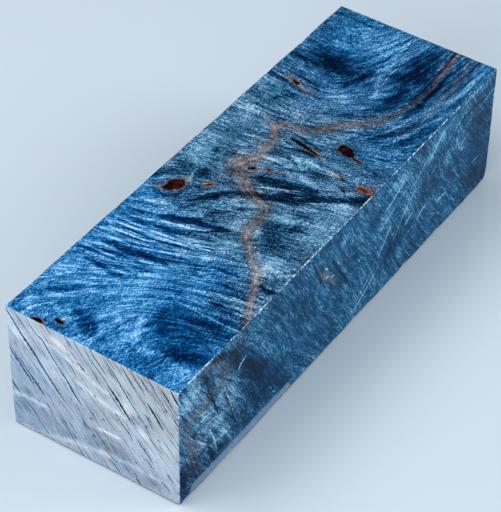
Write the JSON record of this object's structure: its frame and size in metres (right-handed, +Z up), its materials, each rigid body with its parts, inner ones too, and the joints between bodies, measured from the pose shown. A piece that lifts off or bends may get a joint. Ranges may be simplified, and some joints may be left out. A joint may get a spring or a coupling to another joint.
{
  "type": "stabilized burl block",
  "caption": "Rectangular sawn blank of blue dyed, resin-stabilized burl wood with a sanded figured top and rough-sawn ends.",
  "frame": {"origin": "middle of the flat underside, under the centre of the block's box", "axes": "+X along the length, away from the end with the pale saw-scored face; +Y across the width, towards the long side that the picture doesn't show; +Z up, out of the sanded figured top"},
  "size_m": [0.135, 0.045, 0.0355],
  "materials": {
    "burl_wood": "blue dyed burl, filled with resin: sanded satin top with fine figure, glossy saw-cut sides, pale hazy sawn ends"
  },
  "bodies": {
    "root": {"burl_block": "burl_wood"}
  },
  "joints": []
}
